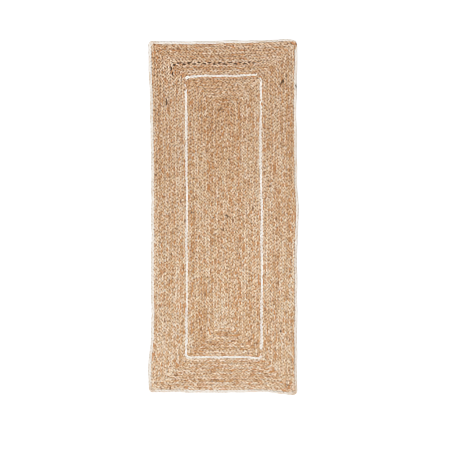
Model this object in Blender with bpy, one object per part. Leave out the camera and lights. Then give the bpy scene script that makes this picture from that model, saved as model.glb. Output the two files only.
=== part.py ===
"""Braided runner rug, 2 ft 6 in by 6 ft: flat braid wound in a long spiral and laced edge to edge.

X runs across the rug, Y along it and Z up. The origin is under the middle of the rug's outline, on the
surface that it lies on. Each turn of the spiral is one closed body. A turn starts at the +X +Y corner, goes
down the +X side, along the -Y end, up the -X side, and climbs one braid's width along the +Y end.
"""

import math

import bmesh
import bpy
from mathutils import Vector

# Driving dimensions, in metres
RUG_WIDTH = 0.762
RUG_LENGTH = 1.829
BRAID_THICKNESS = 0.0092
FIELD_TURNS = 13
BORDER_TURNS = 12
ACCENT_WIDTH = 0.388
ACCENT_LENGTH = 1.470
CORNER_RADIUS = 0.018
SEAM_GAP = 0.0004
CORE_SLOT = 0.002
EDGE_SLOPE = 0.18
THREAD_DIAMETER = 0.0013

# How far the hand-made outline strays from straight, in metres
LEFT_WAIST = 0.004
LEFT_FLARE = 0.015
RIGHT_BULGE = 0.007
RIGHT_DIP = 0.004
TOP_DIP = 0.005
BOTTOM_CORNER_DROOP = 0.012

# Places along a side, from 0 at one end to 1 at the other, where a turn has a point
LONG_SIDE = (0.07, 0.21, 0.36, 0.44, 0.5, 0.57, 0.7, 0.86)
SHORT_SIDE = (0.09, 0.26, 0.62)
STRAIGHT_CORE_TURNS = 3

# Worked out from the dimensions above
TURNS = FIELD_TURNS + 1 + BORDER_TURNS + 1
ACCENT_LINE = FIELD_TURNS + 0.5
OUTER_TURNS = TURNS - ACCENT_LINE
FIELD_PITCH = ACCENT_WIDTH / 2 / ACCENT_LINE
SIDE_PITCH = (RUG_WIDTH - ACCENT_WIDTH) / 2 / OUTER_TURNS
END_PITCH = (RUG_LENGTH - ACCENT_LENGTH) / 2 / OUTER_TURNS
CORE_HALF_LENGTH = ACCENT_LENGTH / 2 - ACCENT_LINE * FIELD_PITCH
HALF_GAP_TURNS = SEAM_GAP / 2 / FIELD_PITCH

JUTE = (0.56, 0.37, 0.23, 1.0)
WHITE = (0.80, 0.76, 0.69, 1.0)
THREAD = (0.62, 0.50, 0.36, 1.0)


def clear_scene():
    for obj in list(bpy.data.objects):
        bpy.data.objects.remove(obj, do_unlink=True)


def material(name, colour, roughness):
    made = bpy.data.materials.new(name)
    made.use_nodes = True
    shader = made.node_tree.nodes["Principled BSDF"]
    shader.inputs["Base Color"].default_value = colour
    shader.inputs["Roughness"].default_value = roughness
    shader.inputs["Metallic"].default_value = 0.0
    made.diffuse_color = colour
    return made


def corner(turn):
    """Half the width and half the length of the line that lies this many turns out from the middle."""
    inner = min(turn, ACCENT_LINE)
    outer = max(turn - ACCENT_LINE, 0.0)
    half_x = FIELD_PITCH * inner + SIDE_PITCH * outer
    half_y = CORE_HALF_LENGTH + FIELD_PITCH * inner + END_PITCH * outer
    return half_x, half_y


def bump(value, middle, width):
    return math.exp(-(((value - middle) / width) ** 2))


def ease(value):
    value = min(max(value, 0.0), 1.0)
    return value * value * (3.0 - 2.0 * value)


def hand_made(x, y):
    """The point (x, y) of a straight rug, moved to where it lies on the hand-made one."""
    across = 2.0 * x / RUG_WIDTH
    along = 2.0 * y / RUG_LENGTH
    left = LEFT_WAIST - LEFT_FLARE * (ease((along - 0.2) / 0.9) + ease((-along - 0.66) / 0.22))
    right = RIGHT_BULGE * bump(along, 0.02, 0.13) - RIGHT_DIP * bump(along, 0.57, 0.17)
    top = -TOP_DIP * bump(across, -0.62, 0.3)
    bottom = -BOTTOM_CORNER_DROOP * bump(across, 0.93, 0.2)
    dx = left * max(-across, 0.0) + right * max(across, 0.0)
    dy = top * max(along, 0.0) ** 2 + bottom * max(-along, 0.0) ** 6
    return x + dx, y + dy


def corner_arc(sign_x, sign_y, turn, start_angle, end_angle):
    """Where a turn's corner arc starts and ends, for the corner on this side and at this end."""
    half_x, half_y = corner(turn)
    radius = min(CORNER_RADIUS, 0.6 * half_x)
    centre_x, centre_y = sign_x * (half_x - radius), sign_y * (half_y - radius)
    found = []
    for angle in (math.radians(start_angle), math.radians(end_angle)):
        found.append((centre_x + radius * math.cos(angle), centre_y + radius * math.sin(angle)))
    return found


def side(start, end, shares):
    """The start, the places at these shares of the way, and the end."""
    inner = [(start[0] + (end[0] - start[0]) * s, start[1] + (end[1] - start[1]) * s) for s in shares]
    return [start] + inner + [end]


def turn_line(turn, last=False):
    """The line that starts this many turns out at the +X +Y corner and comes back to it one turn further out.

    Where it is the last turn, it stops short at the rug's +X side.
    """
    short_side = SHORT_SIDE if turn > STRAIGHT_CORE_TURNS else ()
    begin, right_top = corner_arc(1, 1, turn, 45.0, 0.0)
    right_bottom, bottom_right = corner_arc(1, -1, turn, 0.0, -90.0)
    bottom_left, left_bottom = corner_arc(-1, -1, turn, -90.0, -180.0)
    left_top, top_left = corner_arc(-1, 1, turn, 180.0, 90.0)
    top_right, finish = corner_arc(1, 1, turn + 1.0, 90.0, 45.0)
    points = [begin]
    points += side(right_top, right_bottom, LONG_SIDE)
    points += side(bottom_right, bottom_left, short_side)
    points += side(left_bottom, left_top, LONG_SIDE)
    if not last:
        return points + side(top_left, top_right, short_side) + [finish]
    end_x = corner(TURNS)[0] - CORNER_RADIUS / 2
    climb = (top_right[1] - top_left[1]) / (top_right[0] - top_left[0])
    end = (end_x, top_left[1] + climb * (end_x - top_left[0]))
    return points + side(top_left, end, short_side)


def end_trimmed(points, gap):
    """The same line with each end drawn back by the gap, so that two turns don't touch end to end."""
    first, second = Vector(points[0]), Vector(points[1])
    last, before = Vector(points[-1]), Vector(points[-2])
    start = first + (second - first).normalized() * gap
    stop = last + (before - last).normalized() * gap
    return [tuple(start)] + points[1:-1] + [tuple(stop)]


def turn_edges(number):
    """The inner and the outer edge of one turn of braid, as two lines with the same number of points."""
    last = number == TURNS
    inner_turn = number - 1 + (HALF_GAP_TURNS if number > 1 else CORE_SLOT / 2 / FIELD_PITCH)
    edges = []
    for turn in (inner_turn, number - HALF_GAP_TURNS):
        line = end_trimmed(turn_line(turn, last), SEAM_GAP / 2)
        edges.append([hand_made(x, y) for x, y in line])
    return edges


def middle_of(all_edges):
    """The middle of the rug's outline, where the origin goes."""
    points = [point for edges in all_edges for edge in edges for point in edge]
    xs, ys = zip(*points)
    return Vector(((min(xs) + max(xs)) / 2, (min(ys) + max(ys)) / 2, 0.0))


def flat_braid(name, edges, middle, finish, collection):
    """One turn of braid: a section with a flat underside and sloping edges, extruded from place to place."""
    section = ((0.0, 0.0), (1.0, 0.0), (1.0 - EDGE_SLOPE, BRAID_THICKNESS), (EDGE_SLOPE, BRAID_THICKNESS))
    shape = bmesh.new()
    corners = [shape.verts.new() for _ in section]
    face = shape.faces.new(corners)
    for i, (inner, outer) in enumerate(zip(*edges)):
        if i > 0:
            behind = face
            made = bmesh.ops.extrude_face_region(shape, geom=[behind])["geom"]
            face = next(item for item in made if isinstance(item, bmesh.types.BMFace))
            if i > 1:
                bmesh.ops.delete(shape, geom=[behind], context="FACES_ONLY")
        inner_at, outer_at = Vector((*inner, 0.0)), Vector((*outer, 0.0))
        for vert, (share, height) in zip(face.verts, section):
            vert.co = inner_at.lerp(outer_at, share) - middle + Vector((0.0, 0.0, height))
    bmesh.ops.recalc_face_normals(shape, faces=shape.faces)
    mesh = bpy.data.meshes.new(name)
    shape.to_mesh(mesh)
    shape.free()
    mesh.materials.append(finish)
    obj = bpy.data.objects.new(name, mesh)
    collection.objects.link(obj)
    return obj


def lacing_thread(middle, finish, collection):
    """The thread that joins the turns, lying in the groove between them from the core to the outer turn."""
    route = []
    for number in range(1, TURNS):
        line = turn_line(float(number))
        route += line if number == 1 else line[1:]
    curve = bpy.data.curves.new("lacing_thread", "CURVE")
    curve.dimensions = "3D"
    curve.fill_mode = "FULL"
    curve.use_fill_caps = True
    curve.twist_mode = "Z_UP"
    curve.bevel_depth = THREAD_DIAMETER / 2
    curve.bevel_resolution = 0
    spline = curve.splines.new("POLY")
    spline.points.add(len(route) - 1)
    for point, (x, y) in zip(spline.points, route):
        bent_x, bent_y = hand_made(x, y)
        point.co = (bent_x - middle.x, bent_y - middle.y, 0.0, 1.0)
    curve.materials.append(finish)
    obj = bpy.data.objects.new("lacing_thread", curve)
    obj.location.z = BRAID_THICKNESS / 2
    collection.objects.link(obj)
    return obj


def turn_name(number):
    if number <= FIELD_TURNS:
        return f"field_braid_{number:02d}"
    if number == FIELD_TURNS + 1:
        return "accent_braid"
    if number < TURNS:
        return f"border_braid_{number - FIELD_TURNS - 1:02d}"
    return "edge_braid"


def build():
    clear_scene()
    collection = bpy.data.collections.new("braided_runner_rug")
    bpy.context.scene.collection.children.link(collection)
    all_edges = [turn_edges(number) for number in range(1, TURNS + 1)]
    middle = middle_of(all_edges)
    for number, edges in enumerate(all_edges, start=1):
        name = turn_name(number)
        white = name in ("accent_braid", "edge_braid")
        finish = material(name + "_fibre", WHITE if white else JUTE, 0.85 if white else 0.9)
        flat_braid(name, edges, middle, finish, collection)
    lacing_thread(middle, material("lacing_thread_cotton", THREAD, 0.8), collection)


build()
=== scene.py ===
import math

import bpy
import numpy as np
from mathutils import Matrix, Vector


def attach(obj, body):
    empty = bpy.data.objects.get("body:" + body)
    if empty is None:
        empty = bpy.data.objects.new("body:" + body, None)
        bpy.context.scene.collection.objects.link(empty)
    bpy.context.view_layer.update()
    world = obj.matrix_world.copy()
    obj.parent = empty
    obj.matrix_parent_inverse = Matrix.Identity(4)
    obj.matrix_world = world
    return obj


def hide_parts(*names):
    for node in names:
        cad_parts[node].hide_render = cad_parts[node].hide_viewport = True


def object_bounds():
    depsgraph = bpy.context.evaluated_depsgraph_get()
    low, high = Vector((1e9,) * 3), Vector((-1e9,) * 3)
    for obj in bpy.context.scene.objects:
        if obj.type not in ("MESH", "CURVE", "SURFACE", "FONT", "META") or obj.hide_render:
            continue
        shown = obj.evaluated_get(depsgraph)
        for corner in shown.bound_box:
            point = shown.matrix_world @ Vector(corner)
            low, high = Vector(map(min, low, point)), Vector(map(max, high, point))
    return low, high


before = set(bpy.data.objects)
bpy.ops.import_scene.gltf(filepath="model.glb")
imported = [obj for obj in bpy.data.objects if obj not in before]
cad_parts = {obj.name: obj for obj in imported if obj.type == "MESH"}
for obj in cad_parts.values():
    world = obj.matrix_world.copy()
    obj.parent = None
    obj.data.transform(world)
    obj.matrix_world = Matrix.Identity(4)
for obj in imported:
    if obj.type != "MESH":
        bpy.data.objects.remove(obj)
cadLow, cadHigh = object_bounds()
thickness = cadHigh.z - cadLow.z
print("frame loaded:", len(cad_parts), "nodes")

# Where the braid lies, in metres: wound as in the CAD, with the accent line 2 mm further out across
winding = {
    "fieldTurns": 13,
    "borderTurns": 12,
    "halfWidth": 0.381,
    "halfLength": 0.9145,
    "accentHalfWidth": 0.196,
    "accentHalfLength": 0.735,
    "cornerRadius": 0.018,
    "coreCornerShare": 0.6,  # of the half width, where that leaves less than the radius
    "step": 0.0043,  # between two sections of a strand
    "foldedSteps": 3,  # the braid's first end is folded back under the second turn
    "tuckLength": 0.06,  # the rug's last end is pulled in to the turn before it
    "tuckDepth": 0.006,
    "thinLength": 0.4,  # and the braid is thinner on the way there
    "thinShare": 0.2,
    "thinPull": 1.3,  # how far a thinner braid moves in, in half widths that it has lost
    "stopShort": 0.15,  # the last end stops short of the +X side, in corner radii
    "narrowShare": 0.12,  # the edge turn is narrower on the +X side
    "narrowFrom": 0.15,  # from this X
    "narrowOver": 0.03,
    "arcDensity": 1.7,  # sections lie closer together on the corners
    "accentPinch": 0.075,  # how far the seams on both sides of the accent turn lie in on it, in turns
}

# How far the hand-made rug strays from straight, in metres
handMade = {
    "leftWaist": 0.004,
    "leftFlare": 0.015,
    "rightBulge": 0.007,
    "rightDip": 0.004,
    "topDip": 0.005,
    "bottomCornerDroop": 0.012,
    # where along or across the rug each of them is and how far it reaches, in shares of the half size
    "flareHigh": (0.2, 0.9),
    "flareLow": (0.66, 0.22),
    "bulgePlace": (0.02, 0.13),
    "dipPlace": (0.57, 0.17),
    "topDipPlace": (-0.62, 0.3),
    "droopPlace": (0.93, 0.2),
    "waver": 0.0007,  # height of each of the small waves that the turns follow
    "waves": 9,
    "shortestWave": 0.07,
    "longestWave": 0.3,
    # where rows stray together: place across and along, reach across and along, shift in x and y
    "strays": (
        (0.15, 0.86, 0.5, 0.24, 0.0, -0.0085),
        (0.51, 0.36, 0.22, 0.38, -0.004, 0.0),
        (0.51, -0.36, 0.22, 0.12, 0.003, 0.0),
        (0.22, -0.80, 0.42, 0.12, 0.0, 0.005),
        (0.46, -0.80, 0.07, 0.05, 0.0, -0.007),
        (0.50, 0.80, 0.10, 0.05, 0.0, -0.0045),
        (0.505, 0.785, 0.03, 0.018, 0.003, 0.01),
    ),
}

# The plait of three strands
plait = {
    "strands": 3,
    "sides": 10,
    "period": 0.052,  # along the braid, until a strand is back on its side
    "swing": 0.53,  # of the braid's half width
    "steep": 0.12,  # how much faster a strand crosses over than a plain wave
    "lift": 0.0026,
    "strandWidth": 0.0043,  # half of it, across
    "strandDepth": 0.0023,  # half of it, up and down
    "bulge": 0.0012,  # how much deeper a strand is where it lies alone at an edge
    "roll": 0.4,
    "tail": 0.03,  # length over which the last end tapers
    "head": 0.008,
    "endSwing": 0.35,  # what is left of the swing at an end
    "endGirth": 0.45,
    "girthFollows": 0.9,  # how far a strand's girth follows the width of its turn
    "depthFollows": 0.6,  # and its depth follows its girth
    "crown": 0.0012,  # how far a strand may stand above the CAD's top
    "clearance": 0.00005,  # and how far it stays above the floor
    # unevenness: its strength and the length that it goes over
    "slowDrift": (0.6, 0.1),
    "quickDrift": (0.4, 0.031),
    "swingVaries": (0.1, 0.045),
    "liftVaries": (0.18, 0.027),
    "girthVaries": (0.14, 0.02),
    "ragged": (0.09, 0.012),
}

turns = winding["fieldTurns"] + 1 + winding["borderTurns"] + 1
accentTurn = winding["fieldTurns"] + 1
accentLine = winding["fieldTurns"] + 0.5
fieldPitch = winding["accentHalfWidth"] / accentLine
sidePitch = (winding["halfWidth"] - winding["accentHalfWidth"]) / (turns - accentLine)
endPitch = (winding["halfLength"] - winding["accentHalfLength"]) / (turns - accentLine)
coreHalfLength = winding["accentHalfLength"] - accentLine * fieldPitch


def ease(x):
    # 3x^2 - 2x^3 from 0 to 1, and level outside
    x = np.clip(x, 0.0, 1.0)
    return x * x * (3.0 - 2.0 * x)


def bump(x, middle, width):
    # e to the minus square of the distance in widths
    return np.exp(-(((x - middle) / width) ** 2))


def smoothNoise(x, seed):
    # random heights from -1 to 1 at whole numbers, joined by eased steps
    length = 4096
    table = np.random.default_rng(seed).uniform(-1.0, 1.0, length)
    low = np.floor(x).astype(int)
    share = ease(x - low)
    return table[low % length] * (1.0 - share) + table[(low + 1) % length] * share


def corner(turn):
    # half the width and half the length of the line that lies this many turns out from the middle
    inner = min(turn, accentLine)
    outer = max(turn - accentLine, 0.0)
    halfX = fieldPitch * inner + sidePitch * outer
    halfY = coreHalfLength + fieldPitch * inner + endPitch * outer
    return halfX, halfY


def bend(points):
    # a straight rug's points, moved by its flares, bulges, droops and strays, and by a sum of sine waves
    across = points[:, 0] / winding["halfWidth"]
    along = points[:, 1] / winding["halfLength"]
    highFrom, highReach = handMade["flareHigh"]
    lowFrom, lowReach = handMade["flareLow"]
    flare = ease((along - highFrom) / highReach) + ease((-along - lowFrom) / lowReach)
    left = handMade["leftWaist"] - handMade["leftFlare"] * flare
    right = handMade["rightBulge"] * bump(along, *handMade["bulgePlace"])
    right = right - handMade["rightDip"] * bump(along, *handMade["dipPlace"])
    top = -handMade["topDip"] * bump(across, *handMade["topDipPlace"])
    droop = -handMade["bottomCornerDroop"] * bump(across, *handMade["droopPlace"])
    dx = left * np.maximum(-across, 0.0) + right * np.maximum(across, 0.0)
    dy = top * np.maximum(along, 0.0) ** 2 + droop * np.maximum(-along, 0.0) ** 6
    moved = points + np.stack([dx, dy], 1)
    for placeX, placeY, reachX, reachY, shiftX, shiftY in handMade["strays"]:
        share = bump(across, placeX, reachX) * bump(along, placeY, reachY)
        moved = moved + share[:, None] * np.array([shiftX, shiftY])
    rng = np.random.default_rng(3)
    for _ in range(handMade["waves"]):
        heading, phase, turnTo = rng.uniform(0.0, 2.0 * math.pi, 3)
        length = rng.uniform(handMade["shortestWave"], handMade["longestWave"])
        front = points @ np.array([math.cos(heading), math.sin(heading)]) / length * 2.0 * math.pi
        way = np.array([math.cos(turnTo), math.sin(turnTo)])
        moved = moved + handMade["waver"] * np.sin(front + phase)[:, None] * way
    return moved


def cornerRadius(halfX):
    return min(winding["cornerRadius"], winding["coreCornerShare"] * halfX)


def cornerArc(signX, signY, turn, startAngle, endAngle, count):
    # centre + radius * (cos a, sin a), a running from one angle to the other
    halfX, halfY = corner(turn)
    radius = cornerRadius(halfX)
    angle = np.radians(np.linspace(startAngle, endAngle, count))
    centre = np.array([signX * (halfX - radius), signY * (halfY - radius)])
    return centre + radius * np.stack([np.cos(angle), np.sin(angle)], 1)


def between(start, end, count):
    # points strictly between two places, evenly spaced
    share = (np.arange(count) + 1.0)[:, None] / (count + 1.0)
    return start + (end - start) * share


def turnLine(offset, counts):
    # from the +X +Y corner down, across, up and across, ending one turn further out
    arcCount, longCount, shortCount, topCount = counts
    begin = cornerArc(1, 1, offset, 45.0, 0.0, arcCount)
    lowRight = cornerArc(1, -1, offset, 0.0, -90.0, 2 * arcCount)
    lowLeft = cornerArc(-1, -1, offset, -90.0, -180.0, 2 * arcCount)
    highLeft = cornerArc(-1, 1, offset, 180.0, 90.0, 2 * arcCount)
    end = cornerArc(1, 1, offset + 1.0, 90.0, 45.0, arcCount)
    return np.concatenate([
        begin,
        between(begin[-1], lowRight[0], longCount),
        lowRight,
        between(lowRight[-1], lowLeft[0], shortCount),
        lowLeft,
        between(lowLeft[-1], highLeft[0], longCount),
        highLeft,
        between(highLeft[-1], end[0], topCount),
        end,
    ])


def seamAt(turn):
    # how many turns out the seam after this turn lies
    if turn == accentTurn - 1:
        return turn + winding["accentPinch"]
    if turn == accentTurn:
        return turn - winding["accentPinch"]
    return float(turn)


def windSpiral():
    # middle line of the braid, the vector from it to the braid's outer edge, and where each turn starts
    middles, widths, starts = [], [], [0]
    for turn in range(1, turns + 1):
        inner, outer = seamAt(turn - 1), seamAt(turn)
        halfX, halfY = corner(turn - 0.5)
        step = winding["step"]
        radius = cornerRadius(halfX)
        arcCount = max(2, round(winding["arcDensity"] * radius * math.pi / 4.0 / step))
        longCount = round(2.0 * (halfY - radius) / step)
        shortCount = max(1, round(2.0 * (halfX - radius) / step))
        topCount = max(1, round((2.0 * (halfX - radius) + fieldPitch) / step))
        counts = (arcCount, longCount, shortCount, topCount)
        middle = bend(turnLine((inner + outer) / 2.0, counts))
        outward = (bend(turnLine(outer, counts)) - bend(turnLine(inner, counts))) / 2.0
        if turn == 1:
            back = (middle[:1] - middle[1:2]) / np.linalg.norm(middle[0] - middle[1]) * step
            folded = np.arange(winding["foldedSteps"], 0, -1)[:, None]
            middle = np.concatenate([middle[:1] + back * folded, middle])
            outward = np.concatenate([np.repeat(outward[:1], len(folded), 0), outward])
        skip = 0 if turn == 1 else 1  # a turn starts where the last one ended
        middles.append(middle[skip:])
        widths.append(outward[skip:])
        starts.append(starts[-1] + len(middle) - 1)
        if turn == turns:
            narrow = ease((middles[-1][:, :1] - winding["narrowFrom"]) / winding["narrowOver"])
            widths[-1] *= 1.0 - winding["narrowShare"] * narrow
    return np.concatenate(middles), np.concatenate(widths), starts


middle, outward, starts = windSpiral()
# the rug's last end stops at its +X side
keep = np.arange(len(middle)) < (starts[-2] + starts[-1]) // 2
keep |= middle[:, 0] < corner(turns)[0] - winding["stopShort"] * winding["cornerRadius"]
middle, outward = middle[keep], outward[keep]
# metres left to that end
rest = np.concatenate([np.cumsum(np.linalg.norm(np.diff(middle, axis=0), axis=1)[::-1])[::-1], [0.0]])
tucked = 1.0 - ease(rest / winding["tuckLength"])
thinned = 1.0 - ease(rest / winding["thinLength"])
wide = np.linalg.norm(outward, axis=1)
inwards = tucked * winding["tuckDepth"] + winding["thinPull"] * thinned * winding["thinShare"] * wide
middle = middle - outward / wide[:, None] * inwards[:, None]
outward = outward * (1.0 - thinned * winding["thinShare"])[:, None]
starts[-1] = len(middle) - 1

tangent = np.gradient(middle, axis=0)
tangent /= np.linalg.norm(tangent, axis=1)[:, None]
normal = np.stack([-tangent[:, 1], tangent[:, 0]], 1)
halfPitch = np.abs((outward * normal).sum(1))
normal *= np.sign((outward * normal).sum(1))[:, None]  # always towards the outer turn
# metres along the braid
run = np.concatenate([[0.0], np.cumsum(np.linalg.norm(np.diff(middle, axis=0), axis=1))])
print("spiral wound:", len(run), "sections,", round(float(run[-1]), 1), "m of braid")

# the winding is centred on the CAD's box
halfBraid = normal * halfPitch[:, None]
edges = np.concatenate([middle - halfBraid, middle + halfBraid])
edgesMiddle = (edges.min(0) + edges.max(0)) / 2.0
middle = middle + np.array([(cadLow.x + cadHigh.x) / 2.0, (cadLow.y + cadHigh.y) / 2.0]) - edgesMiddle


def varies(setting, seed, shift=0.0):
    # noise of a setting's strength, over its length along the braid
    strength, length = setting
    return strength * smoothNoise(run / length + shift, seed)


def strandPath(which):
    # across: swing * (sin(a) + steep * sin(3a)), up: lift * sin(2a), the strands a third of a round apart
    drift = varies(plait["slowDrift"], 20) + varies(plait["quickDrift"], 30 + which)
    angle = 2.0 * math.pi * (run / plait["period"] + which / plait["strands"]) + drift
    ends = ease(run / plait["head"]) * ease((run[-1] - run) / plait["tail"])
    swing = plait["swing"] * (1.0 + varies(plait["swingVaries"], 40 + which))
    swing *= 1.0 - (1.0 - plait["endSwing"]) * (1.0 - ends)
    lift = plait["lift"] * (1.0 + varies(plait["liftVaries"], 50 + which))
    steep = plait["steep"]
    aside = halfPitch * swing * (np.sin(angle) + steep * np.sin(3.0 * angle)) / (1.0 - steep)
    height = thickness / 2.0 + lift * np.sin(2.0 * angle)
    path = np.empty((len(run), 3))
    path[:, :2] = middle + normal * aside[:, None]
    path[:, 2] = height
    return path, angle, ends


def strandSections(which):
    # at each place on the path an oval: across * cos(t) * side + deep * sin(t) * up, rolled at the edges
    path, angle, ends = strandPath(which)
    ahead = np.gradient(path, axis=0)
    ahead /= np.linalg.norm(ahead, axis=1)[:, None]
    side = np.cross(ahead, np.array([0.0, 0.0, 1.0]))
    side /= np.linalg.norm(side, axis=1)[:, None]
    up = np.cross(side, ahead)
    outwardSign = np.sign((side[:, :2] * normal).sum(1))
    roll = -plait["roll"] * np.sin(2.0 * angle) * np.sin(angle) * outwardSign
    rolledSide = side * np.cos(roll)[:, None] + up * np.sin(roll)[:, None]
    rolledUp = up * np.cos(roll)[:, None] - side * np.sin(roll)[:, None]
    sides = plait["sides"]
    t = 2.0 * math.pi * np.arange(sides) / sides
    fat = 1.0 + varies(plait["girthVaries"], 60 + which)
    fat *= 1.0 - (1.0 - plait["endGirth"]) * (1.0 - ends)
    fat *= 1.0 - plait["girthFollows"] * (1.0 - halfPitch / (fieldPitch / 2.0))
    across = plait["strandWidth"] * fat
    deep = plait["strandDepth"] + plait["bulge"] * np.sin(angle) ** 4
    deep *= 1.0 - plait["depthFollows"] * (1.0 - fat)
    ragged = np.stack([
        1.0 + varies(plait["ragged"], 70 + 10 * which + j, 17.0 * j) for j in range(sides)
    ], 1)
    oval = (across[:, None] * np.cos(t))[:, :, None] * rolledSide[:, None, :]
    oval = oval + (deep[:, None] * np.sin(t))[:, :, None] * rolledUp[:, None, :]
    sections = path[:, None, :] + oval * ragged[:, :, None]
    sections[:, :, 2] = np.clip(sections[:, :, 2], plait["clearance"], thickness + plait["crown"])
    return sections, angle


plaited = [strandSections(which) for which in range(plait["strands"])]
strands = [sections for sections, _ in plaited]
strandAngles = [angle for _, angle in plaited]
print("strands plaited:", len(strands))


def nearest(x, y, turn=None):
    # the section of the spiral nearest a place, on one turn if it is named
    low, high = (0, len(middle)) if turn is None else (starts[turn - 1], starts[turn] + 1)
    away = np.linalg.norm(middle[low:high] - np.array([x, y]), axis=1)
    return low + int(away.argmin())


def topLobe(x, y, reach=3):
    # the strand that lies uppermost at a place, and the section nearby where it lies highest
    place = nearest(x, y)
    first = max(place - reach, 0)
    heights = np.stack([sections[first:place + reach + 1, :, 2].max(1) for sections in strands])
    which = int(heights[:, place - first].argmax())
    return which, first + int(heights[which].argmax())


# How the fibre's colour varies, with painted light and shade along each lobe. Those in pairs are a strength
# and the length that it goes over.
shading = {
    "lobe": 0.42,  # from lobe to lobe
    "crestShade": 2.6,  # painted light on a lobe's crest and painted shade where it dives under the others
    "crestShadeLevel": 0.75,
    "lobeStart": 40.0,  # degrees
    "row": (0.58, 0.36),  # all three strands alike
    "stretch": (0.3, 0.085),
    "speck": (0.3, 0.009),
    "field": -0.14,  # the field is a little deeper than the border
    "rust": (0.88, 2.08),  # of a rusty lobe, and how much more on rusty stretches
    "rustRarity": 6,  # the higher, the fewer lobes are rusty
    "rustSpeck": (0.2, 0.008),
    "rustyRow": (0.8, 0.5),
    "rustyStrand": (0.8, 0.4),
    "rustyLevel": 0.3,  # the higher, the shorter the rusty stretches
    "rustyDeeper": 0.55,
    "barkSpeck": (5.5, 0.011),
    "barkRarity": 0.86,
    "barkRust": 1.5,
    "bleachedBark": 0.15,  # how much of the bark the bleached turns keep
    "darkStrand": 0.9,
    "darkStrandVaries": (0.2, 0.012),
    "darkStrandFades": (0.01, 0.09),  # where it begins and where it ends, in metres
    "barkMark": 1.4,
    "barkMarkWidth": 0.6,  # of its length
    "rustMarkDeeper": 1.2,
    "stain": 1.3,
    "stainDeeper": 1.5,
}

# Marks that belong to a place on the rug, in metres
marks = {
    # dark scraps of bark in the fibre: x, y, length along the braid
    "bark": (
        (-0.295, 0.606, 0.014), (-0.294, 0.585, 0.012), (0.308, 0.708, 0.013), (0.374, 0.683, 0.012),
        (0.031, 0.301, 0.006), (-0.166, 0.026, 0.006), (-0.044, 0.0, 0.005), (0.013, 0.007, 0.006),
        (0.231, 0.155, 0.006), (0.296, -0.593, 0.009), (0.003, 0.551, 0.006), (0.317, 0.737, 0.005),
        (0.332, -0.872, 0.003), (0.304, 0.7, 0.008),
    ),
    # rust-brown stretches
    "rust": (
        (0.268, 0.25, 0.03), (-0.075, 0.15, 0.02), (0.322, -0.88, 0.004), (0.341, -0.884, 0.004),
        (0.372, 0.9, 0.004), (0.2, -0.53, 0.012), (-0.21, -0.6, 0.012), (0.352, -0.864, 0.004),
    ),
    # beige stains on the edge braid
    "stain": ((-0.384, -0.9, 0.03), (0.375, -0.9, 0.045), (0.2, 0.93, 0.02), (-0.36, 0.915, 0.02)),
    # one strand is dark brown on this turn, between these two places
    "darkTurn": accentTurn + 5,
    "darkFrom": (-0.275, 0.73),
    "darkTo": (0.24, 0.80),
}


def strandShades(which):
    # a lobe is the part of a strand between two dives under the others; each one has its own tone
    lobePlace = (strandAngles[which] + math.radians(shading["lobeStart"])) / math.pi
    lobe = np.floor(lobePlace).astype(int)
    lobe -= lobe.min()
    rng = np.random.default_rng(200 + which)
    lobeTone = rng.normal(0.0, 1.0, lobe.max() + 1)[lobe]
    lobeRust = (rng.uniform(0.0, 1.0, lobe.max() + 1) ** shading["rustRarity"])[lobe]
    # painted light and shade along each lobe: 1 on its crest, 0 where it dives under the others
    crestShade = np.sin((lobePlace % 1.0) * math.pi)

    # tone: pale or deep fibre, as a sum of noises and the lobe's own tone, with painted light on its crest
    # and painted shade where it dives
    tone = varies(shading["row"], 99) + varies(shading["stretch"], 100 + which)
    tone = tone + varies(shading["speck"], 120 + which)
    tone = tone + shading["lobe"] * lobeTone + shading["crestShade"] * (crestShade - shading["crestShadeLevel"])
    tone = tone + shading["field"] * (run < run[starts[winding["fieldTurns"]]])

    # dark and rust: how far the fibre is stained, from 0 to 1
    barkStrength, barkLength = shading["barkSpeck"]
    speck = smoothNoise(run / barkLength, 130 + which)
    dark = np.clip(speck - shading["barkRarity"], 0.0, 1.0) * barkStrength
    for bleachedTurn in (accentTurn, turns):
        dark[starts[bleachedTurn - 1]:starts[bleachedTurn] + 1] *= shading["bleachedBark"]
    rusty = varies(shading["rustyStrand"], 140 + which) + varies(shading["rustyRow"], 145)
    rusty = ease(rusty - shading["rustyLevel"])
    rustEverywhere, rustMore = shading["rust"]
    rust = lobeRust * (rustEverywhere + rustMore * rusty)
    rust = rust + np.maximum(varies(shading["rustSpeck"], 160 + which), 0.0) + shading["barkRust"] * dark
    tone = tone - shading["rustyDeeper"] * rusty * rng.uniform(0.0, 1.0, lobe.max() + 1)[lobe]

    if which == 0:
        first = nearest(*marks["darkFrom"], marks["darkTurn"])
        last = nearest(*marks["darkTo"], marks["darkTurn"])
        fadeIn, fadeOut = shading["darkStrandFades"]
        inside = ease((run - run[first]) / fadeIn) * ease((run[last] - run) / fadeOut)
        dark = np.maximum(dark, inside * (shading["darkStrand"] + varies(shading["darkStrandVaries"], 150)))
    for x, y, length in marks["bark"]:
        strand, place = topLobe(x, y)
        if which == strand:
            scrap = bump(run, run[place], length * shading["barkMarkWidth"])
            dark = np.maximum(dark, shading["barkMark"] * scrap)
    for x, y, length in marks["rust"]:
        stained = bump(run, run[nearest(x, y)], length)
        rust = np.maximum(rust, stained)
        tone = tone - shading["rustMarkDeeper"] * stained
    for x, y, length in marks["stain"]:
        stained = bump(run, run[nearest(x, y, turns)], length)
        rust = np.maximum(rust, shading["stain"] * stained)
        tone = tone - shading["stainDeeper"] * stained
    return tone, np.clip(dark, 0.0, 1.0), np.clip(rust, 0.0, 1.0)


def setMap(mesh, name, corners):
    # a UV map from the places of all the faces' corners, in their order
    mesh.uv_layers.new(name=name).uv.foreach_set("vector", corners.astype(np.float32).ravel())


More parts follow.
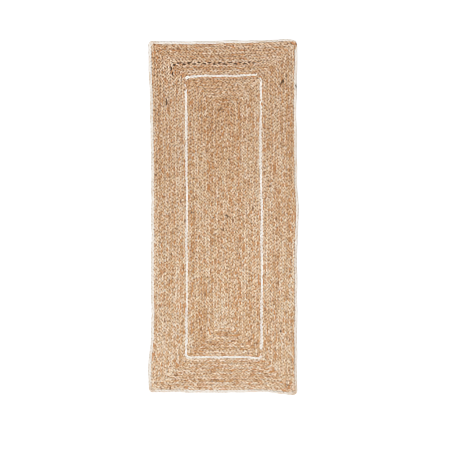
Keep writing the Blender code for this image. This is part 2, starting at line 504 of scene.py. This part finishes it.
def tubeMesh(name, tubes, tints, runs, finishes, slots=None):
    # tubes: (strand, place, side, xyz). Quads join each place to the next, and a flat face closes each end.
    strandCount, places, sides, _ = tubes.shape
    vertexAt = np.arange(strandCount * places * sides).reshape(strandCount, places, sides)
    a, b = vertexAt[:, :-1, :], vertexAt[:, 1:, :]
    quads = np.stack([a, b, np.roll(b, -1, 2), np.roll(a, -1, 2)], -1).reshape(-1, 4)
    firstCaps, lastCaps = vertexAt[:, 0, :], vertexAt[:, -1, ::-1]
    caps = np.concatenate([firstCaps, lastCaps])
    corners = np.concatenate([quads.ravel(), caps.ravel()])
    faceStarts = np.concatenate([np.arange(len(quads)) * 4, len(quads) * 4 + np.arange(len(caps)) * sides])
    mesh = bpy.data.meshes.new(name)
    mesh.vertices.add(strandCount * places * sides)
    mesh.vertices.foreach_set("co", tubes.astype(np.float32).ravel())
    mesh.loops.add(len(corners))
    mesh.loops.foreach_set("vertex_index", corners.astype(np.int32))
    mesh.polygons.add(len(faceStarts))
    mesh.polygons.foreach_set("loop_start", faceStarts.astype(np.int32))
    mesh.update(calc_edges=True)

    # the strand map: metres along the strand, and turns round it, three apart from strand to strand
    along = np.broadcast_to(runs[None, :, None], (strandCount, places, sides))
    u0, u1 = along[:, :-1, :], along[:, 1:, :]
    number = np.arange(strandCount)[:, None, None] * 3.0
    round0 = np.broadcast_to(number + np.arange(sides) / sides, u0.shape)
    round1 = round0 + 1.0 / sides
    u = np.stack([u0, u1, u1, u0], -1)
    v = np.stack([round0, round0, round1, round1], -1)
    quadMap = np.stack([u, v], -1).reshape(-1, 2)
    capMap = np.zeros((len(caps) * sides, 2))
    setMap(mesh, "strand", np.concatenate([quadMap, capMap]))

    # the bake map: the strands' skin cut into rows, side by side, so that no two faces share a place
    sideWidth = 0.0024  # of one of a strand's sides, in metres
    rowsWanted = max(1, round(math.sqrt(strandCount * places * winding["step"] / (sides * sideWidth))))
    perRow = math.ceil(strandCount * (places - 1) / rowsWanted)
    margin = 0.06  # of a row's height
    order = np.arange(strandCount * (places - 1)).reshape(strandCount, places - 1)[:, :, None]
    order = np.broadcast_to(order, u0.shape)
    row, column = order // perRow, order % perRow
    rowCount = int(row.max()) + 1
    left = column / perRow
    right = (column + 1.0) / perRow
    band = (1.0 - 2.0 * margin) / sides
    sideIndex = np.broadcast_to(np.arange(sides), u0.shape)
    lowV = (row + margin + band * sideIndex) / rowCount
    highV = (row + margin + band * (sideIndex + 1)) / rowCount
    bakeU = np.stack([left, right, right, left], -1)
    bakeV = np.stack([lowV, lowV, highV, highV], -1)
    bakeMap = np.stack([bakeU, bakeV], -1).reshape(-1, 2)
    t = 2.0 * math.pi * np.arange(sides) / sides
    ring = 0.3 * margin / rowCount * np.stack([np.cos(t), np.sin(t)], 1)
    capPlace = np.array([0.5, 0.5 * margin / rowCount])
    capBake = np.tile(capPlace + ring, (len(caps), 1))
    setMap(mesh, "OFBake", np.concatenate([bakeMap, capBake]))

    # tone (with its painted light and shade), dark and rust travel with the vertices
    colours = np.ones((strandCount, places, sides, 4), np.float32)
    for channel, tint in enumerate(tints):
        colours[..., channel] = tint[:, :, None]
    fibre = mesh.color_attributes.new(name="fibre", type="FLOAT_COLOR", domain="POINT")
    fibre.data.foreach_set("color", colours.ravel())

    for finish in finishes:
        mesh.materials.append(finish)
    if slots is not None:
        byFace = np.broadcast_to(slots[:, :-1, None], u0.shape).ravel()
        allFaces = np.concatenate([byFace, np.zeros(len(caps))]).astype(np.int32)
        mesh.polygons.foreach_set("material_index", allFaces)
    mesh.polygons.foreach_set("use_smooth", np.ones(len(faceStarts), bool))
    mesh.update()
    piece = bpy.data.objects.new(name, mesh)
    bpy.context.scene.collection.objects.link(piece)
    return piece


class Socket:
    # one output of a node, with arithmetic that adds Math nodes to its finish
    def __init__(self, finish, source):
        self.finish = finish
        self.source = source

    def maths(self, operation, *others):
        return self.finish.add("ShaderNodeMath", {"operation": operation}, dict(enumerate((self, *others))))

    def __add__(self, other):
        return self.maths("ADD", other)

    def __radd__(self, other):
        return self.maths("ADD", other)

    def __sub__(self, other):
        return self.maths("SUBTRACT", other)

    def __rsub__(self, other):
        return self.finish.add("ShaderNodeMath", {"operation": "SUBTRACT"}, {0: other, 1: self})

    def __mul__(self, other):
        return self.maths("MULTIPLY", other)

    def __rmul__(self, other):
        return self.maths("MULTIPLY", other)

    def beside(self, number):
        # another output of the same node
        return Socket(self.finish, self.source.node.outputs[number])

    def clamped(self):
        return self.finish.add("ShaderNodeClamp", {}, {"Value": self, "Min": 0.0, "Max": 1.0})

    def ramp(self, low, high):
        # 0 at low, 1 at high, eased between
        return self.finish.add(
            "ShaderNodeMapRange", {"interpolation_type": "SMOOTHSTEP"},
            {"Value": self, "From Min": low, "From Max": high, "To Min": 0.0, "To Max": 1.0})


class Finish:
    # a material whose nodes are added by type, settings, and values or links
    def __init__(self, name):
        self.material = bpy.data.materials.new(name)
        self.material.use_nodes = True
        self.nodes = self.material.node_tree.nodes
        self.links = self.material.node_tree.links
        self.nodes.clear()

    def add(self, kind, settings, values, output=0):
        node = self.nodes.new(kind)
        for key, setting in settings.items():
            if key == "stops":
                self.setStops(node.color_ramp, setting)
            else:
                setattr(node, key, setting)
        for key, value in values.items():
            if isinstance(value, Socket):
                self.links.new(value.source, node.inputs[key])
            else:
                node.inputs[key].default_value = value
        return Socket(self, node.outputs[output])

    def setStops(self, ramp, stops):
        while len(ramp.elements) < len(stops):
            ramp.elements.new(1.0)
        for element, (place, colour) in zip(ramp.elements, stops):
            element.position = place
            element.color = (*colour, 1.0)

    def mix(self, share, first, second, blend="MIX"):
        made = self.add("ShaderNodeMix", {"data_type": "RGBA", "blend_type": blend}, {0: share}, 2)
        node = made.source.node
        for place, value in ((6, first), (7, second)):
            if isinstance(value, Socket):
                self.links.new(value.source, node.inputs[place])
            else:
                node.inputs[place].default_value = (*value, 1.0)
        return made

    def close(self, shader):
        out = self.nodes.new("ShaderNodeOutputMaterial")
        self.links.new(shader.source, out.inputs["Surface"])
        return self.material


jute = {
    "deep": (0.25, 0.10, 0.036),
    "brown": (0.45, 0.225, 0.09),
    "tan": (0.60, 0.395, 0.225),
    "cream": (0.72, 0.575, 0.42),
    "pale": (0.765, 0.68, 0.58),
    "bark": (0.06, 0.034, 0.019),
    "rust": (0.53, 0.23, 0.08),
    "ash": (0.45, 0.37, 0.30),
    # colour of the painted shade between the strands and on their rims
    "groove": (0.17, 0.075, 0.028),
    "roughness": 0.68,
    "headShadeTint": (1.0, 0.94, 0.88),  # painted shade and light: the +Y end is a little darker, the -Y end a little lighter
    "footLightTint": (1.10, 1.11, 1.10),
    "headGrooveShade": 0.95,  # and its painted groove shade is deeper there
    "footGrooveShade": 0.6,
    "footEnds": -0.75,  # where the change to the head begins, in half lengths
    "buried": (0.35, 0.95),  # heights, in thicknesses, below and above which a strand is buried and bare, where the painted shade is full and gone
    "ashScale": 95.0,
    "ashShare": 0.6,
    # how much of the painted shade lies on the strands' rims
    "rimShare": 0.55,
    # noises drawn out along the strand: scale along it and round it, twist, detail, seed
    "bundles": (55.0, 7.0, 9.0, 3.0, 0.0),
    "fibres": (90.0, 26.0, 12.0, 2.0, 7.0),
    "hairs": (130.0, 72.0, 14.0, 1.0, 11.0),
    # the shade's middle level, and how much the tone and each noise move it
    "level": 0.55,
    "toneShare": 0.27,
    "shares": (1.3, 1.2, 0.9),
    "roughVaries": 0.3,
    "bump": (0.75, 0.0006),  # strength and depth
    "relief": (0.8, 0.6, 0.35),  # how much of each noise goes into it
    # how a stain follows the fibres: its least share, and how much the fibres add
    "rustPatches": (0.15, 1.3),
    "barkPatches": (0.85, 0.4),
}

bleached = {
    "shadow": (0.42, 0.31, 0.21),
    "cream": (0.69, 0.62, 0.54),
    "white": (0.79, 0.755, 0.71),
    "roughness": 0.8,
    # painted shade between the strands and on their rims: its strength, and the heights and rim share of its
    # mask
    "grooveShade": 0.8,
    "buried": (0.3, 0.85),
    "rimShare": 0.55,
    "rustShare": 0.35,
    "bundles": (50.0, 6.0, 9.0, 3.0, 3.0),
    "fibres": (90.0, 24.0, 12.0, 2.0, 5.0),
    "hairs": (130.0, 70.0, 14.0, 1.0, 13.0),
    "level": 0.66,
    "toneShare": 0.2,
    "shares": (0.9, 0.6, 0.5),
    "roughVaries": 0.25,
    "bump": (0.65, 0.0005),
    "relief": (0.8, 0.6, 0.35),
    "barkPatches": (0.85, 0.4),
}

# The accent is bleached further than the edge
whiter = {
    **bleached,
    "shadow": (0.46, 0.355, 0.26),
    "cream": (0.745, 0.69, 0.635),
    "white": (0.86, 0.84, 0.82),
}


def strandPlace(finish):
    # metres along the strand, and turns round it
    place = finish.add("ShaderNodeUVMap", {"uv_map": "strand"}, {})
    parts = finish.add("ShaderNodeSeparateXYZ", {}, {0: place})
    return parts, parts.beside(1)


def fibreNoise(finish, setting):
    # noise drawn out along the strand: its streaks run round it as they run along, as spun fibre does
    alongScale, roundScale, twist, detail, seed = setting
    u, v = strandPlace(finish)
    around = (v + u * twist) * roundScale
    spot = finish.add("ShaderNodeCombineXYZ", {}, {0: u * alongScale, 1: around, 2: seed})
    return finish.add("ShaderNodeTexNoise", {}, {
        "Vector": spot, "Scale": 1.0, "Detail": detail, "Roughness": 0.6})


def rimOf(finish):
    # 1 where a strand's skin turns down at its two sides, 0 on its top: |cos(t)|, eased
    _, v = strandPlace(finish)
    turned = v * (2.0 * math.pi)
    return turned.maths("COSINE").maths("ABSOLUTE").ramp(0.55, 1.0)


def strandTints(finish):
    # tone, dark and rust
    tint = finish.add("ShaderNodeAttribute", {"attribute_name": "fibre"}, {})
    parts = finish.add("ShaderNodeSeparateColor", {}, {0: tint})
    return parts, parts.beside(1), parts.beside(2)


def placeOf(finish):
    # the place on the rug, and its Y and Z
    place = finish.add("ShaderNodeTexCoord", {}, {}, "Object")
    parts = finish.add("ShaderNodeSeparateXYZ", {}, {0: place})
    return place, parts.beside(1), parts.beside(2)


def spunShade(finish, look, tone):
    # level + tone + each noise about its middle; also the noises, for the bump
    noises = [fibreNoise(finish, look[kind]) for kind in ("bundles", "fibres", "hairs")]
    shade = look["level"] + tone * look["toneShare"]
    for noise, share in zip(noises, look["shares"]):
        shade = shade + (noise - 0.5) * share
    return shade, noises


def grooves(finish, look, height):
    # painted shade mask: 1 deep between the strands and on their rims, 0 on their tops
    low, high = look["buried"]
    buried = 1.0 - height.ramp(thickness * low, thickness * high)
    return (buried + rimOf(finish) * look["rimShare"]).clamped()


def patchy(stain, fibres, setting):
    # a stain that takes to some fibres more than to others
    least, more = setting
    return (stain * (least + more * fibres)).clamped()


def spunShader(finish, look, colour, noises):
    # roughness and bump from the same noises as the shade
    bundles, fibres, hairs = noises
    strength, distance = look["bump"]
    rough = (look["roughness"] + (fibres - 0.5) * look["roughVaries"]).clamped()
    bundleShare, fibreShare, hairShare = look["relief"]
    relief = fibres * fibreShare + bundles * bundleShare + hairs * hairShare
    bumped = finish.add("ShaderNodeBump", {}, {"Strength": strength, "Distance": distance, "Height": relief})
    return finish.close(finish.add("ShaderNodeBsdfPrincipled", {}, {
        "Base Color": colour, "Roughness": rough, "Normal": bumped, "Specular IOR Level": 0.25,
        "Sheen Weight": 0.06, "Sheen Roughness": 0.5}))


def juteFinish():
    finish = Finish("natural_jute_fibre")
    tone, dark, rust = strandTints(finish)
    place, along, height = placeOf(finish)
    shade, noises = spunShade(finish, jute, tone)
    fibres = noises[1]
    stops = (
        (0.0, jute["deep"]), (0.24, jute["brown"]), (0.48, jute["tan"]), (0.74, jute["cream"]),
        (1.0, jute["pale"]))
    colour = finish.add("ShaderNodeValToRGB", {"stops": stops}, {0: shade})
    ashen = finish.add("ShaderNodeTexNoise", {}, {"Vector": place, "Scale": jute["ashScale"], "Detail": 1.0})
    colour = finish.mix(ashen.ramp(0.5, 0.7) * jute["ashShare"], colour, jute["ash"])
    colour = finish.mix(patchy(rust, fibres, jute["rustPatches"]), colour, jute["rust"])
    colour = finish.mix(patchy(dark, fibres, jute["barkPatches"]), colour, jute["bark"])
    # fall runs from 0 towards -Y to 1 at +Y, for the painted light and shade along the rug
    fall = along.ramp(jute["footEnds"] * winding["halfLength"], winding["halfLength"])
    grooveShade = jute["footGrooveShade"] + fall * (jute["headGrooveShade"] - jute["footGrooveShade"])
    # painted shade between the strands and on their rims, deeper towards +Y
    colour = finish.mix(grooves(finish, jute, height) * grooveShade, colour, jute["groove"])
    # painted light and shade along the rug: lighter towards -Y, darker towards +Y
    tinted = finish.mix(fall, jute["footLightTint"], jute["headShadeTint"])
    colour = finish.mix(1.0, colour, tinted, "MULTIPLY")
    return spunShader(finish, jute, colour, noises)


def bleachedFinish(name, look):
    finish = Finish(name)
    tone, dark, rust = strandTints(finish)
    _, _, height = placeOf(finish)
    shade, noises = spunShade(finish, look, tone)
    fibres = noises[1]
    stops = ((0.05, look["shadow"]), (0.42, look["cream"]), (0.7, look["white"]))
    colour = finish.add("ShaderNodeValToRGB", {"stops": stops}, {0: shade})
    # painted shade between the strands and on their rims, in the shadow colour
    colour = finish.mix(grooves(finish, look, height) * look["grooveShade"], colour, look["shadow"])
    colour = finish.mix(rust * look["rustShare"], colour, jute["tan"])
    colour = finish.mix(patchy(dark, fibres, look["barkPatches"]), colour, jute["bark"])
    return spunShader(finish, look, colour, noises)


juteMaterial = juteFinish()
edgeMaterial = bleachedFinish("bleached_jute_fibre", bleached)
accentMaterial = bleachedFinish("whiter_jute_fibre", whiter)
print("finishes mixed")

# Where the bleached braids begin and end, in metres
splices = {
    "accentEnd": 0.028,  # short of the corner where its turn ends
    "stagger": 0.006,  # from strand to strand
    "edgeStart": 0.012,
    # where jute fibre lies over the accent: x, y, length, and the strands it hides
    "covers": (
        (-0.196, 0.704, 0.028, (0, 1, 2)),
        (-0.196, 0.674, 0.036, (0, 2)),
        (0.196, 0.728, 0.016, (0,)),
        (0.196, 0.60, 0.03, (1,)),
        (0.196, -0.702, 0.034, (0, 1, 2)),
        (-0.196, 0.39, 0.016, (0, 2)),
        (0.196, 0.21, 0.016, (1,)),
        (0.196, -0.31, 0.016, (0,)),
    ),
}


def turnName(turn):
    if turn <= winding["fieldTurns"]:
        return f"field_braid_{turn:02d}"
    if turn == accentTurn:
        return "accent_braid"
    if turn < turns:
        return f"border_braid_{turn - accentTurn:02d}"
    return "edge_braid"


# One piece of plait for each turn
shades = [strandShades(which) for which in range(plait["strands"])]
for turn in range(1, turns + 1):
    part = slice(starts[turn - 1], starts[turn] + 1)
    node = turnName(turn)
    tubes = np.stack([sections[part] for sections in strands])
    tints = [np.stack([channel[part] for channel in channels]) for channels in zip(*shades)]
    local = run[part] - run[part][0]
    staggered = splices["stagger"] * np.arange(plait["strands"])[:, None]
    slots = None
    finishes = [juteMaterial]
    if node == "accent_braid":
        finishes = [accentMaterial, juteMaterial]
        slots = local > local[-1] - (splices["accentEnd"] + staggered)
        for x, y, length, hidden in splices["covers"]:
            away = np.abs(run[part] - run[nearest(x, y, turn)])
            slots[list(hidden)] |= away < length / 2.0
    if node == "edge_braid":
        finishes = [edgeMaterial, juteMaterial]
        slots = local < splices["edgeStart"] + staggered
    piece = tubeMesh(node + "_plait", tubes, tints, run[part], finishes, slots)
    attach(piece, "root")
    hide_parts(node)
print("plaits made:", turns)

# The lacing thread: a zigzag through the edges of neighbouring turns
lacing = {
    "stitch": 0.017,
    "reach": 0.0026,  # to each side of the seam
    "height": 0.0030,
    "rise": 0.0012,  # where it crosses the seam
    "radius": 0.0007,
    "sides": 4,
    "colour": (0.36, 0.22, 0.12),
}


def threadFinish():
    finish = Finish("lacing_thread_cotton")
    place = finish.add("ShaderNodeTexCoord", {}, {}, "Object")
    grain = finish.add("ShaderNodeTexNoise", {}, {"Vector": place, "Scale": 900.0, "Detail": 2.0})
    pale = tuple(min(1.0, channel * 1.35) for channel in lacing["colour"])
    colour = finish.mix(grain, lacing["colour"], pale)
    bumped = finish.add("ShaderNodeBump", {}, {"Strength": 0.4, "Distance": 0.0002, "Height": grain})
    shader = finish.add("ShaderNodeBsdfPrincipled", {}, {
        "Base Color": colour, "Roughness": 0.8, "Normal": bumped})
    return finish.close(shader)


def lacingThread():
    # along the seam: reach * a triangle wave across it, raised where it crosses, four places a stitch
    seam = middle + normal * halfPitch[:, None]
    upTo = starts[turns - 1]
    seamRun = run[:upTo]
    places = np.arange(0.0, seamRun[-1], lacing["stitch"] / 4.0)
    line = np.stack([np.interp(places, seamRun, seam[:upTo, axis]) for axis in range(2)], 1)
    across = np.stack([np.interp(places, seamRun, normal[:upTo, axis]) for axis in range(2)], 1)
    across /= np.linalg.norm(across, axis=1)[:, None]
    wave = np.array([0.0, 1.0, 0.0, -1.0])[np.arange(len(places)) % 4]
    lift = lacing["rise"] * (wave == 0.0)
    path = np.empty((len(places), 3))
    path[:, :2] = line + across * (wave * lacing["reach"])[:, None]
    path[:, 2] = lacing["height"] + lift
    ahead = np.gradient(path, axis=0)
    ahead /= np.linalg.norm(ahead, axis=1)[:, None]
    side = np.cross(ahead, np.array([0.0, 0.0, 1.0]))
    side /= np.linalg.norm(side, axis=1)[:, None]
    up = np.cross(side, ahead)
    t = 2.0 * math.pi * np.arange(lacing["sides"]) / lacing["sides"]
    ring = np.cos(t)[None, :, None] * side[:, None, :] + np.sin(t)[None, :, None] * up[:, None, :]
    tube = (path[:, None, :] + lacing["radius"] * ring)[None]
    plain = [np.zeros((1, len(places)))] * 3
    return tubeMesh("lacing_thread_stitches", tube, plain, places, [threadFinish()])


thread = lacingThread()
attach(thread, "root")
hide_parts("lacing_thread")
print("lacing made:", len(thread.data.polygons), "faces")

# Floor, light and camera
studio = {
    "floorSize": 80.0,
    "floorColour": (0.93, 0.93, 0.93),
    "skyStrength": 0.93,
    "sunStrength": 0.98,
    "sunWidth": 12.0,  # degrees: a wide sun is a soft one
    "sunFrom": (-0.3, -0.4, 1.0),
    "lens": 85.0,
    "sensor": 36.0,
    "fill": 1.2644,  # how many rug lengths the view is high
    "aim": (0.0081, -0.0418),  # X and Y below the camera
    "pixelFilter": 0.7,
}


def makeFloor():
    half = studio["floorSize"] / 2.0
    mesh = bpy.data.meshes.new("floor")
    corners = [(-half, -half, 0.0), (half, -half, 0.0), (half, half, 0.0), (-half, half, 0.0)]
    mesh.from_pydata(corners, [], [(0, 1, 2, 3)])
    finish = Finish("pale_floor")
    shader = finish.add("ShaderNodeBsdfPrincipled", {}, {
        "Base Color": (*studio["floorColour"], 1.0), "Roughness": 0.9, "Specular IOR Level": 0.2})
    mesh.materials.append(finish.close(shader))
    floor = bpy.data.objects.new("floor", mesh)
    bpy.context.scene.collection.objects.link(floor)


def makeLight():
    world = bpy.data.worlds.new("studio")
    world.use_nodes = True
    background = world.node_tree.nodes["Background"]
    background.inputs["Color"].default_value = (1.0, 1.0, 1.0, 1.0)
    background.inputs["Strength"].default_value = studio["skyStrength"]
    bpy.context.scene.world = world
    data = bpy.data.lights.new("softbox", "SUN")
    data.angle = math.radians(studio["sunWidth"])
    data.energy = studio["sunStrength"]
    lamp = bpy.data.objects.new("softbox", data)
    lamp.location = studio["sunFrom"]
    lamp.rotation_euler = lamp.location.to_track_quat("Z", "Y").to_euler()
    bpy.context.scene.collection.objects.link(lamp)


def makeCamera():
    span = (cadHigh.y - cadLow.y) * studio["fill"]
    data = bpy.data.cameras.new("camera")
    data.lens = studio["lens"]
    data.sensor_width = studio["sensor"]
    data.clip_end = 50.0
    camera = bpy.data.objects.new("camera", data)
    height = span * studio["lens"] / studio["sensor"]
    camera.location = (studio["aim"][0], studio["aim"][1], height + thickness)
    bpy.context.scene.collection.objects.link(camera)
    bpy.context.scene.camera = camera


makeFloor()
makeLight()
makeCamera()
bpy.context.scene.view_settings.view_transform = "Standard"
bpy.context.scene.cycles.filter_width = studio["pixelFilter"]
print("floor, light and camera made")
